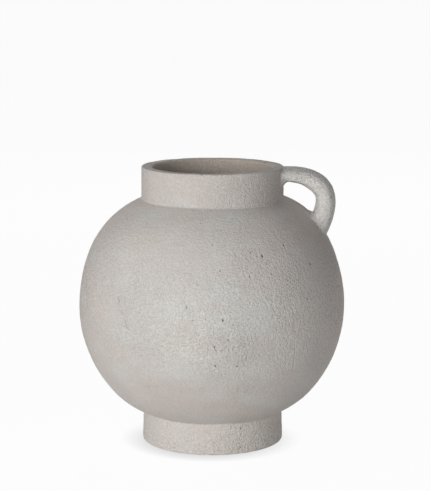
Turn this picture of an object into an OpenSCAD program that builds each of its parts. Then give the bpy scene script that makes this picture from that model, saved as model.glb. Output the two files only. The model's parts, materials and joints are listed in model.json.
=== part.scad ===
// Round clay vase with a straight collar, a straight foot ring and one ear handle.
// Millimetres, +Z up, origin on the table under the middle of the foot. The handle stands out along +X.

/* [Body] */
// Widest diameter of the body
body_d = 250; // [230:1:270]
// Height of the widest line above the table
belly_h = 129; // [120:1:138]
// Thickness of the bowl and dome walls
body_wall = 8; // [6:0.5:10]
// Radius of the dome's curve just above the widest line
dome_r = 140; // [128:1:155]
// Angle up to which the dome keeps that curve
dome_angle = 21; // [15:1:27]
// Radius of the bowl's curve just below the widest line
bowl_r = 119; // [108:1:130]
// Angle down to which the bowl keeps that curve
bowl_angle = 42; // [36:1:48]
// Radius of the curve that runs on to the floor
base_r = 74; // [67:1:81]

/* [Neck] */
// Height from the table to the rim
total_h = 260.5; // [240:0.5:280]
// Height of the collar's outside above the shoulder
collar_h = 30.6; // [26:0.2:36]
// Outer diameter of the collar
collar_d = 133; // [120:1:146]
// Thickness of the collar wall
collar_wall = 10.5; // [8:0.5:13]
// Rounding of the rim's edges
rim_round = 2.5; // [1:0.5:4]

/* [Foot] */
// Outer diameter of the foot ring
foot_d = 132; // [118:1:146]
// Thickness of the foot ring
foot_wall = 12; // [9:0.5:15]
// Rounding of the foot ring's lower edges
foot_round = 2; // [1:0.5:4]

/* [Joints] */
// Thickness of the tongue under the dome's edge
tongue_w = 2.6; // [1.6:0.2:3.6]
// Depth of the tongue
tongue_h = 3; // [2:0.5:5]
// Room for slip around the tongue
slip_gap = 0.2; // [0.1:0.05:0.4]
// Height of the clay coils pressed into the neck and foot corners
coil_leg = 3.5; // [2:0.5:5]
// Thickness of the luting pads under the handle's ends
pad_t = 1.5; // [1:0.25:3]
// How far the luting pads show around the handle
pad_border = 2; // [1:0.5:4]

/* [Handle] */
// Width of the handle across its path
handle_w = 30; // [24:1:36]
// Thickness of the handle at the collar
handle_top_t = 13.6; // [11:0.2:16]
// Thickness of the handle at the shoulder
handle_low_t = 22; // [18:0.5:26]
// Depth of the handle's centre line below the rim
handle_drop = 7; // [6:0.5:10]
// How far the handle sets off straight out of the collar
handle_out = 50; // [44:1:56]
// How far the handle's foot points up from the shoulder
handle_up = 22; // [18:1:28]
// Lean of the handle's foot, from level
handle_lean = 67; // [60:1:75]
// Depth below the rim at which the handle lands on the shoulder
handle_land = 55.1; // [50:0.1:60]

/* [Hidden] */
$fn = 96;
// Angle that one flat of a wall curve spans
flat_angle = 2.5;

clay = [0.77, 0.75, 0.72];
clay_dark = [0.66, 0.63, 0.60];

body_rad = body_d / 2;
collar_rad = collar_d / 2;
mouth_rad = collar_rad - collar_wall;
foot_rad = foot_d / 2;
recess_rad = foot_rad - foot_wall;
// Radius at which the shapes that cope the neck's pieces end, well inside the mouth
core_rad = mouth_rad / 2;

// Places on the wall are pairs, as [radius, height]. The dome's curve ends where the shoulder's curve begins
dome_centre = [body_rad - dome_r, belly_h];
dome_end = dome_centre + dome_r * toward(dome_angle);
neck_h = total_h - collar_h;
// The shoulder's curve leaves the dome's without a corner and runs on to the foot of the collar
neck_from_dome = [collar_rad, neck_h] - dome_end;
neck_along_dome = ([collar_rad, neck_h] - dome_centre) * toward(dome_angle);
shoulder_r = neck_from_dome * neck_from_dome / (2 * (dome_r - neck_along_dome));
shoulder_centre = dome_end - shoulder_r * toward(dome_angle);

bowl_centre = [body_rad - bowl_r, belly_h];
base_centre = bowl_centre + (bowl_r - base_r) * toward(-bowl_angle);
floor_h = base_centre[1] - base_r;
// Height where the foot ring meets the bowl
foot_h = on_curve(base_centre, base_r, foot_rad, -1);

// The handle's path is one cubic curve, given by four points
handle_start = [collar_rad, total_h - handle_drop];
handle_end_h = total_h - handle_land;
handle_end = [dome_rad(handle_end_h), handle_end_h];
handle_path = [handle_start, handle_start + [handle_out, 0],
    handle_end + handle_up * toward(handle_lean), handle_end];
// How far the uncut handle runs on into the collar and the shoulder
handle_bury = handle_low_t / 2;
path_steps = 24;
section_sides = 20;
pad_sides = 40;

function toward(angle) = [cos(angle), sin(angle)];

// Height of a wall curve at a given radius, on its upper side (1) or lower side (-1)
function on_curve(centre, r, at, side) = centre[1] + side * sqrt(r * r - (at - centre[0]) * (at - centre[0]));

// Outer radius of the dome at a given height
function dome_rad(h) =
    let (on_dome = h < dome_end[1], centre = on_dome ? dome_centre : shoulder_centre,
        r = on_dome ? dome_r : shoulder_r)
    centre[0] + sqrt(r * r - (h - centre[1]) * (h - centre[1]));

// Angle on a wall curve at which it reaches a given radius
function angle_at(centre, r, at) = acos((at - centre[0]) / r);

// Points along a curve from one angle to another
function arc_points(centre, r, from, to) =
    let (flats = ceil(abs(to - from) / flat_angle))
    [for (i = [0:flats]) centre + r * toward(from + (to - from) * i / flats)];

function tail(list) = [for (i = [1:len(list) - 1]) list[i]];
function reversed(list) = [for (i = [len(list) - 1:-1:0]) list[i]];

// Outline of the dome from the widest line up to an angle on the shoulder, grown outwards by a margin
function dome_curve(margin, stop) = concat(
    arc_points(dome_centre, dome_r + margin, 0, dome_angle),
    tail(arc_points(shoulder_centre, shoulder_r + margin, dome_angle, stop)));

// Outline of the bowl from the widest line down to the edge of its flat floor
function bowl_curve(margin) = concat(
    arc_points(bowl_centre, bowl_r + margin, 0, -bowl_angle),
    tail(arc_points(base_centre, base_r + margin, -bowl_angle, -90)));

// Corners of the tongue or its groove on the widest line, from the inside of the wall outwards
function tongue_corners(w, h) =
    let (middle = body_rad - body_wall / 2)
    [[middle - w / 2, belly_h], [middle - w / 2, belly_h - h], [middle + w / 2, belly_h - h],
        [middle + w / 2, belly_h]];

function unit(v) = v / norm(v);

function curve_point(p, t) =
    pow(1 - t, 3) * p[0] + 3 * pow(1 - t, 2) * t * p[1] + 3 * (1 - t) * t * t * p[2] + t * t * t * p[3];

function curve_way(p, t) =
    unit(pow(1 - t, 2) * (p[1] - p[0]) + 2 * (1 - t) * t * (p[2] - p[1]) + t * t * (p[3] - p[2]));

// Oval outline as [across, along the thickness]
function oval(w, t, sides) =
    [for (k = [0:sides - 1]) [w / 2 * cos(360 * k / sides), t / 2 * sin(360 * k / sides)]];

// One ring of the handle: an oval around a point of the path, square to the way the path goes there
function handle_ring(at, way, t) =
    [for (p = oval(handle_w, t, section_sides)) [at[0] - way[1] * p[1], p[0], at[1] + way[0] * p[1]]];

// All rings of the handle, with one more at each end that is buried in the wall
function handle_rings() =
    let (first = curve_way(handle_path, 0), last = curve_way(handle_path, 1))
    concat(
        [handle_ring(handle_start - handle_bury * first, first, handle_top_t)],
        [for (i = [0:path_steps]) let (t = i / path_steps)
            handle_ring(curve_point(handle_path, t), curve_way(handle_path, t),
                handle_top_t + (handle_low_t - handle_top_t) * t)],
        [handle_ring(handle_end + handle_bury * last, last, handle_low_t)]);

// Closed skin over a stack of rings with the same number of points
module skin(rings) {
    sides = len(rings[0]);
    last = len(rings) - 1;
    points = [for (ring = rings) each ring];
    start_cap = [for (k = [0:sides - 1]) k];
    end_cap = [for (k = [sides - 1:-1:0]) last * sides + k];
    walls = [for (i = [0:last - 1], k = [0:sides - 1])
        let (a = i * sides + k, b = i * sides + (k + 1) % sides)
        each [[a, a + sides, b], [b, a + sides, b + sides]]];
    polyhedron(points, concat([start_cap], walls, [end_cap]));
}

// What lies under the dome's outline, from the widest line in past the mouth, grown outwards by a margin
module dome_core(margin) {
    stop = angle_at(shoulder_centre, shoulder_r + margin, core_rad);
    polygon(concat(dome_curve(margin, stop), [[core_rad, belly_h]]));
}

// Everything inside the bowl's outline
module bowl_core() {
    polygon(concat(bowl_curve(0), [[0, floor_h], [0, belly_h]]));
}

// Upright wall between two radii with both edges rounded at its free end, up (1) or down (-1)
module round_ended_wall(inner, outer, root, free, round, side) {
    thick = outer - inner;
    edge = free - side * round;
    translate([inner, min(root, edge)]) square([thick, abs(edge - root)]);
    translate([inner + round, min(edge, free)]) square([thick - 2 * round, round]);
    translate([inner + round, edge]) circle(round);
    translate([outer - round, edge]) circle(round);
}

// Outline of a corner filling between an upright wall and a body curve, reaching into the body
module corner_coil(rad, h, centre, r, side) {
    top = [rad, h + side * coil_leg];
    toe = [rad + coil_leg, on_curve(centre, r, rad + coil_leg, side)];
    past_toe = top + 2 * (toe - top);
    polygon([top, past_toe, [rad, h - side * coil_leg]]);
}

module foot_ring() {
    color(clay) rotate_extrude() difference() {
        round_ended_wall(recess_rad, foot_rad, base_centre[1], 0, foot_round, -1);
        bowl_core();
    }
}

module foot_coil() {
    color(clay_dark) rotate_extrude() difference() {
        corner_coil(foot_rad, foot_h, base_centre, base_r, -1);
        bowl_core();
    }
}

module lower_bowl() {
    groove = tongue_corners(tongue_w + 2 * slip_gap, tongue_h + slip_gap);
    color(clay) rotate_extrude()
        polygon(concat(bowl_curve(0), [[0, floor_h], [0, floor_h + body_wall]],
            reversed(bowl_curve(-body_wall)), groove));
}

module upper_dome() {
    outer_stop = angle_at(shoulder_centre, shoulder_r, mouth_rad);
    inner_stop = angle_at(shoulder_centre, shoulder_r - body_wall, mouth_rad);
    color(clay) rotate_extrude()
        polygon(concat(dome_curve(0, outer_stop), reversed(dome_curve(-body_wall, inner_stop)),
            tongue_corners(tongue_w, tongue_h)));
}

module neck_coil() {
    color(clay_dark) rotate_extrude() difference() {
        corner_coil(collar_rad, neck_h, shoulder_centre, shoulder_r, 1);
        dome_core(0);
    }
}

module neck_collar() {
    root_h = (belly_h + neck_h) / 2;
    color(clay) rotate_extrude() difference() {
        round_ended_wall(mouth_rad, collar_rad, root_h, total_h, rim_round, 1);
        dome_core(0);
    }
}

// Pad between the collar and the handle's upper end, kept under the rim's rounding
module handle_top_pad() {
    color(clay_dark) intersection() {
        difference() {
            cylinder(r = collar_rad + pad_t, h = total_h - rim_round);
            cylinder(r = collar_rad, h = total_h);
        }
        translate([0, 0, handle_start[1]]) rotate([90, 0, 90]) linear_extrude(body_rad)
            polygon(oval(handle_w + 2 * pad_border, handle_top_t + 2 * pad_border, pad_sides));
    }
}

// Pad between the shoulder and the handle's lower end
module handle_foot_pad() {
    reach = handle_bury + pad_t;
    color(clay_dark) intersection() {
        difference() {
            rotate_extrude() dome_core(pad_t);
            rotate_extrude() dome_core(0);
        }
        translate([handle_end[0], 0, handle_end[1]]) rotate([0, 90 - handle_lean, 0]) rotate([0, 0, 90])
            translate([0, 0, -reach]) linear_extrude(2 * reach)
                polygon(oval(handle_w + 2 * pad_border, handle_low_t + 2 * pad_border, pad_sides));
    }
}

module handle() {
    color(clay) difference() {
        skin(handle_rings());
        cylinder(r = collar_rad + pad_t, h = total_h + handle_w);
        rotate_extrude() dome_core(pad_t);
    }
}

foot_ring();
foot_coil();
lower_bowl();
upper_dome();
neck_coil();
neck_collar();
handle_top_pad();
handle_foot_pad();
handle();
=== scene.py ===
"""Looks of a round clay vase: turned walls, luted joints, an ear handle and a sandy matt finish.

Every piece stands for one solid of the frame. Lengths are metres, +Z is up and the handle points along +X.
"""

import json
import logging
import math
import random
from collections.abc import Sequence
from dataclasses import dataclass
from enum import Enum

import bpy
import numpy as np
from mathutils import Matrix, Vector

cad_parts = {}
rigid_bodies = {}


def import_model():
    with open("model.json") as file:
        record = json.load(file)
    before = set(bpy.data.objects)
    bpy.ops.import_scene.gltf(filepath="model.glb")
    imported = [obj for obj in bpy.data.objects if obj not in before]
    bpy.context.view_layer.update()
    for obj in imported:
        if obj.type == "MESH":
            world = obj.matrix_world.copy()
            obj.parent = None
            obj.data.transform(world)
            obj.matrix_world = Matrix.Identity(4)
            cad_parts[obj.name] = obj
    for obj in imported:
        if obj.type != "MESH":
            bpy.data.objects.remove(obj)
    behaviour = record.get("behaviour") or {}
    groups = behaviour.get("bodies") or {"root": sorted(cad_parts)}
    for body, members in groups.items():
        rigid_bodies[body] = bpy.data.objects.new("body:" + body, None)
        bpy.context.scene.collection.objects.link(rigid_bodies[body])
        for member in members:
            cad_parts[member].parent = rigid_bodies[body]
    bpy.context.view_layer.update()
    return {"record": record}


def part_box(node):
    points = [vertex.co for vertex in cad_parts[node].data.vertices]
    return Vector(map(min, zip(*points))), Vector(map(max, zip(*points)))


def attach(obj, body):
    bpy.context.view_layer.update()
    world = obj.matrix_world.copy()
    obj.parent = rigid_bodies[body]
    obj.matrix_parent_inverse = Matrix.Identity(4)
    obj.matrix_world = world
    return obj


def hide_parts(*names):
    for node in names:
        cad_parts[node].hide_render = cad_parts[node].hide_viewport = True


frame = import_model()

LOG = logging.getLogger("vase")
BODY = "root"
UP = Vector((0.0, 0.0, 1.0))
OUT = Vector((1.0, 0.0, 0.0))
FRONT = Vector((0.0, -1.0, 0.0))
VASE_MIDDLE = Vector((0.0, 0.0, 0.13))
QUARTER_TURN = 90.0
FULL_TURN = 360.0
SHARP_ANGLE = math.radians(38.0)
MERGE_DISTANCE = 1e-6
MM_PER_M = 1000.0
WEIGHT_DIGITS = 3
# How squarely a point has to face the axis to count as inside, from not at all to fully
FACING_AXIS = (0.1, 0.6)
WHITE = (1.0, 1.0, 1.0)
PITS = "pits"
INSIDE = "inside"

Pair = tuple[float, float]
Triple = tuple[float, float, float]
Outline = list[Vector]
Piece = bpy.types.Object
Finish = bpy.types.Material
Link = bpy.types.NodeSocket
Links = dict[str, Link]
Outputs = bpy.types.NodeOutputs


class Slot(Enum):
    """Material slots of the record."""

    SANDY = "sandy_clay"
    LUTING = "luting_clay"
    HANDLE = "handle_clay"


class Half(Enum):
    """Halves of the round wall, above and below the widest line."""

    UPPER = 1
    LOWER = -1


class Socket(Enum):
    """Kinds of socket that the shader groups use."""

    COLOUR = "NodeSocketColor"
    VALUE = "NodeSocketFloat"
    VECTOR = "NodeSocketVector"


def toward(angle: float) -> Vector:
    """Gives the direction at an angle in degrees, in the plane of radius and height."""
    return Vector((math.cos(math.radians(angle)), math.sin(math.radians(angle))))


def smooth_step(low: float, high: float, values: np.ndarray) -> np.ndarray:
    """Rises smoothly from 0 to 1.

    Args:
        low: Value at and under which the result is 0.
        high: Value at and over which the result is 1.
        values: Values to map.

    Returns:
        One number from 0 to 1 for each value.
    """
    share = np.clip((values - low) / (high - low), 0.0, 1.0)
    return share * share * (3.0 - 2.0 * share)


# Shapes of the wall


@dataclass(frozen=True)
class Arc:
    """A circle in the plane of radius and height. Its angles are degrees from level."""

    centre: Vector
    radius: float

    def at(self, angle: float) -> Vector:
        """Gives the point at an angle."""
        return self.centre + self.radius * toward(angle)

    def grown(self, margin: float) -> "Arc":
        """Gives the same circle moved outwards by a margin."""
        return Arc(self.centre, self.radius + margin)

    def angle_at(self, rad: float, half: Half) -> float:
        """Gives the angle at which one half of the circle is a distance from the vase's axis."""
        return half.value * math.degrees(math.acos((rad - self.centre.x) / self.radius))

    def points(self, start: float, stop: float, spacing: float) -> Outline:
        """Gives evenly spaced points from one angle to another.

        Args:
            start: First angle.
            stop: Last angle.
            spacing: Greatest distance between points.

        Returns:
            The points, both ends included.
        """
        length = abs(math.radians(stop - start)) * self.radius
        flats = max(1, math.ceil(length / spacing))
        return [self.at(start + (stop - start) * i / flats) for i in range(flats + 1)]


def straight(first: Vector, last: Vector, spacing: float) -> Outline:
    """Gives evenly spaced points on a straight line.

    Args:
        first: Start of the line.
        last: End of the line.
        spacing: Greatest distance between points.

    Returns:
        The points, both ends included.
    """
    flats = max(1, math.ceil((last - first).length / spacing))
    return [first.lerp(last, i / flats) for i in range(flats + 1)]


def hollow_curve(first: Vector, corner: Vector, last: Vector, flats: int) -> Outline:
    """Gives a hollow curve that rounds off a corner.

    Args:
        first: Start of the curve.
        corner: The corner that its two ends point at.
        last: End of the curve.
        flats: Number of straight stretches.

    Returns:
        The points, both ends included.
    """
    shares = [i / flats for i in range(flats + 1)]
    return [first.lerp(corner, t).lerp(corner.lerp(last, t), t) for t in shares]


def joined(*stretches: Outline) -> Outline:
    """Joins stretches of an outline and leaves out points that repeat.

    Args:
        *stretches: Lists of points in order.

    Returns:
        One list of points.
    """
    outline: Outline = []
    for point in (p for stretch in stretches for p in stretch):
        if not outline or (point - outline[-1]).length > MERGE_DISTANCE:
            outline.append(point)
    return outline


@dataclass(frozen=True)
class WallShape:
    """Curves of the round wall, from the frame's sizes and the radii that shape it."""

    body_rad: float
    belly_h: float
    collar_rad: float
    mouth_rad: float
    neck_h: float
    rim_h: float
    foot_rad: float
    foot_h: float
    tongue_h: float
    thickness: float = 0.008
    dome_r: float = 0.140
    dome_angle: float = 21.0
    bowl_r: float = 0.119
    bowl_angle: float = 42.0
    base_r: float = 0.074

    @classmethod
    def from_frame(cls) -> "WallShape":
        """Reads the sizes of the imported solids.

        Returns:
            The wall's shape.
        """
        bowl_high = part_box("lower_bowl")[1]
        collar_low, collar_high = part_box("neck_collar")
        foot_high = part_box("foot_ring")[1]
        mouth = next(m for m in frame["record"]["mounts"] if m["name"] == "mouth")
        return cls(
            body_rad=bowl_high.x,
            belly_h=bowl_high.z,
            collar_rad=collar_high.x,
            mouth_rad=mouth["dims"]["r_mm"] / MM_PER_M,
            neck_h=collar_low.z,
            rim_h=collar_high.z,
            foot_rad=foot_high.x,
            foot_h=foot_high.z,
            tongue_h=bowl_high.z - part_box("upper_dome")[0].z,
        )

    @property
    def dome(self) -> Arc:
        """Curve just above the widest line."""
        return Arc(Vector((self.body_rad - self.dome_r, self.belly_h)), self.dome_r)

    @property
    def shoulder(self) -> Arc:
        """Curve that leaves the dome's without a corner and runs on to the foot of the collar.

        Returns:
            The circle that touches the dome's and passes through the collar's foot.
        """
        way = toward(self.dome_angle)
        neck = Vector((self.collar_rad, self.neck_h))
        dome_end = self.dome.at(self.dome_angle)
        along = (neck - self.dome.centre).dot(way)
        radius = (neck - dome_end).length_squared / (2.0 * (self.dome_r - along))
        return Arc(dome_end - radius * way, radius)

    @property
    def bowl(self) -> Arc:
        """Curve just below the widest line."""
        return Arc(Vector((self.body_rad - self.bowl_r, self.belly_h)), self.bowl_r)

    @property
    def base(self) -> Arc:
        """Curve that leaves the bowl's without a corner and runs on to the floor."""
        way = toward(-self.bowl_angle)
        return Arc(self.bowl.at(-self.bowl_angle) - self.base_r * way, self.base_r)

    def curve_at(self, height: float) -> Arc:
        """Gives the curve that the outside follows at a height.

        Args:
            height: Height above the table.

        Returns:
            One of the four curves.
        """
        if height >= self.belly_h:
            return self.dome if height < self.dome.at(self.dome_angle).y else self.shoulder
        return self.bowl if height > self.bowl.at(-self.bowl_angle).y else self.base

    def on_outside(self, turned: float, height: float) -> Vector:
        """Gives the place on the outside at a turn and a height.

        Args:
            turned: Angle from the front towards the handle, in degrees.
            height: Height above the table.

        Returns:
            The place.
        """
        arc = self.curve_at(height)
        rad = arc.centre.x + math.sqrt(arc.radius**2 - (height - arc.centre.y) ** 2)
        angle = math.radians(turned)
        return Vector((rad * math.sin(angle), -rad * math.cos(angle), height))

    def curve(self, half: Half, margin: float, rad: float, spacing: float) -> Outline:
        """Gives the outline from the widest line up or down to a distance from the axis.

        Args:
            half: The dome's half or the bowl's.
            margin: How far the outline is moved outwards, less than 0 for the inside.
            rad: Distance from the axis where it ends, in the bowl no less than where the floor is flat.
            spacing: Greatest distance between points.

        Returns:
            The points from the widest line on.
        """
        near, far, bend = self.bowl, self.base, -self.bowl_angle
        if half is Half.UPPER:
            near, far, bend = self.dome, self.shoulder, self.dome_angle
        end = far.grown(margin)
        return joined(
            near.grown(margin).points(0.0, bend, spacing),
            end.points(bend, end.angle_at(rad, half), spacing),
        )


# Modelling by hand


def choose(piece: Piece) -> None:
    """Selects one piece alone and makes it active.

    Args:
        piece: The piece.
    """
    bpy.ops.object.select_all(action="DESELECT")
    bpy.context.view_layer.objects.active = piece
    piece.select_set(True)


def begin(name: str) -> Piece:
    """Starts a piece as one loose point at the origin, in edit mode.

    Args:
        name: Name of the piece.

    Returns:
        The new object.
    """
    bpy.ops.object.select_all(action="DESELECT")
    bpy.ops.mesh.primitive_plane_add(size=1.0, location=(0.0, 0.0, 0.0))
    piece = bpy.context.object
    piece.name = piece.data.name = name
    bpy.ops.object.mode_set(mode="EDIT")
    bpy.ops.mesh.merge(type="CENTER")
    return piece


def close_up() -> None:
    """Merges what coincides, turns the faces outwards and leaves edit mode."""
    bpy.ops.mesh.select_all(action="SELECT")
    bpy.ops.mesh.remove_doubles(threshold=MERGE_DISTANCE)
    bpy.ops.mesh.normals_make_consistent(inside=False)
    bpy.ops.object.mode_set(mode="OBJECT")


def turn(name: str, outline: Outline, steps: int) -> Piece:
    """Draws an outline point by point and turns it round the vase's axis.

    Args:
        name: Name of the piece.
        outline: Points of radius and height. A ring's outline ends where it begins.
        steps: Number of faces round the axis.

    Returns:
        The turned piece.
    """
    piece = begin(name)
    places = [Vector((p.x, 0.0, p.y)) for p in outline]
    bpy.ops.transform.translate(value=places[0])
    for here, there in zip(places, places[1:]):
        bpy.ops.mesh.extrude_region_move(TRANSFORM_OT_translate={"value": there - here})
    bpy.ops.object.mode_set(mode="OBJECT")
    turning = piece.modifiers.new("turn", "SCREW")
    turning.axis, turning.angle = "Z", math.tau
    turning.steps = turning.render_steps = steps
    bpy.ops.object.modifier_apply(modifier=turning.name)
    bpy.ops.object.mode_set(mode="EDIT")
    close_up()
    return piece


def read_points(piece: Piece, what: str) -> np.ndarray:
    """Reads three numbers for each point of a piece.

    Args:
        piece: The piece.
        what: Name that the mesh gives them.

    Returns:
        The numbers, one point to a row.
    """
    numbers = np.empty(len(piece.data.vertices) * 3)
    piece.data.vertices.foreach_get(what, numbers)
    return numbers.reshape(-1, 3)


def places_of(piece: Piece) -> np.ndarray:
    """Gives the places of a piece's points, one to a row."""
    return read_points(piece, "co")


def normals_of(piece: Piece) -> np.ndarray:
    """Gives the normals at a piece's points, one to a row."""
    return read_points(piece, "normal")


def weigh(piece: Piece, name: str, weights: np.ndarray) -> str:
    """Stores a weight for each point of a piece.

    Args:
        piece: The piece.
        name: Name of the vertex group.
        weights: One number from 0 to 1 for each point.

    Returns:
        The group's name.
    """
    group = piece.vertex_groups.new(name=name)
    rounded = np.round(weights, WEIGHT_DIGITS)
    for weight in np.unique(rounded[rounded > 0.0]):
        group.add(np.nonzero(rounded == weight)[0].tolist(), float(weight), "REPLACE")
    return group.name


def mark(piece: Piece, name: str, values: np.ndarray) -> None:
    """Stores a value for each point of a piece, which the finish can read.

    Args:
        piece: The piece.
        name: Name of the attribute.
        values: One number for each point.
    """
    kept = piece.data.attributes.new(name, "FLOAT", "POINT")
    kept.data.foreach_set("value", values)


def mark_inside(piece: Piece) -> None:
    """Marks the points of a turned piece that face the vase's axis.

    Args:
        piece: The piece.
    """
    places, normals = places_of(piece)[:, :2], normals_of(piece)[:, :2]
    rad = np.maximum(np.linalg.norm(places, axis=1), MERGE_DISTANCE)
    mark(piece, INSIDE, smooth_step(*FACING_AXIS, -np.sum(places * normals, axis=1) / rad))


def shift(piece: Piece, **settings: object) -> None:
    """Moves a piece's surface with a Displace modifier and applies it.

    Args:
        piece: The piece.
        **settings: Settings of the modifier.
    """
    choose(piece)
    change = piece.modifiers.new("shift", "DISPLACE")
    for key, value in settings.items():
        setattr(change, key, value)
    bpy.ops.object.modifier_apply(modifier=change.name)


# Marks of the hand


@dataclass(frozen=True)
class HandWork:
    """Unevenness of hand-worked clay. One field runs through all pieces, so that joints stay closed."""

    shape: WallShape
    # Rise of the shoulder by the handle: most of it, its place, how far it reaches and its end by the collar
    swelling: float = 0.0034
    swelling_turn: float = 98.0
    swelling_drop: float = 0.0125
    swelling_reach: float = 0.062
    swelling_edge: float = 0.001
    # Size and strength of three noises, from broad to fine
    drift_size: float = 0.045
    drift: float = 0.0008
    lump_size: float = 0.011
    lump: float = 0.0003
    sand_size: float = 0.0032
    sand: float = 0.00024
    # Heights above the table between which the noises set in
    still_below: float = 0.0004
    full_above: float = 0.004

    def clouds(self, name: str, size: float) -> bpy.types.Texture:
        """Makes a soft coloured noise that shifts points three ways at once.

        Args:
            name: Name of the texture.
            size: Size of its clouds.

        Returns:
            The texture.
        """
        texture = bpy.data.textures.new(name, "CLOUDS")
        texture.cloud_type = "COLOR"
        texture.noise_scale = size
        texture.noise_depth = 1
        return texture

    def swell(self, piece: Piece, share: np.ndarray | float = 1.0) -> None:
        """Raises the shoulder under the handle, where the clay was pressed, but not under the collar.

        Args:
            piece: The piece.
            share: How far each of its points follows the shoulder.
        """
        shape, places = self.shape, places_of(piece)
        middle = shape.on_outside(self.swelling_turn, shape.neck_h - self.swelling_drop)
        away = np.linalg.norm(places - np.array(middle), axis=1)
        rads = np.hypot(places[:, 0], places[:, 1])
        free = smooth_step(shape.mouth_rad, shape.collar_rad - self.swelling_edge, rads)
        group = weigh(piece, "swell", share * free * (1.0 - smooth_step(0.0, self.swelling_reach, away)))
        shift(piece, direction="Z", mid_level=0.0, strength=self.swelling, vertex_group=group)

    def work(self, piece: Piece) -> None:
        """Shifts a piece's points, but not those that stand on the table.

        Args:
            piece: The piece.
        """
        lifted = smooth_step(self.still_below, self.full_above, places_of(piece)[:, 2])
        group = weigh(piece, "lifted", lifted)
        for name, size, strength in (
            ("drift", self.drift_size, self.drift),
            ("lumps", self.lump_size, self.lump),
            ("sand", self.sand_size, self.sand),
        ):
            shift(
                piece,
                texture=self.clouds(f"{piece.name}_{name}", size),
                texture_coords="LOCAL",
                direction="RGB_TO_XYZ",
                mid_level=0.5,
                strength=strength,
                vertex_group=group,
            )


@dataclass(frozen=True)
class Pit:
    """A small hollow along a short line, such as a burst bubble, a lost grain or a scratch leaves."""

    first: Vector
    last: Vector
    rad: float
    depth: float

    def share(self, places: np.ndarray) -> np.ndarray:
        """Gives how deep places lie in the hollow.

        Args:
            places: Places, one to a row.

        Returns:
            One number for each place, 1 on the line and 0 from the edge on.
        """
        first, line = np.array(self.first), np.array(self.last - self.first)
        along = np.clip((places - first) @ line / (line @ line), 0.0, 1.0)
        away = np.linalg.norm(places - first - along[:, None] * line, axis=1)
        return np.clip(1.0 - (away / self.rad) ** 2, 0.0, 1.0)


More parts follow.
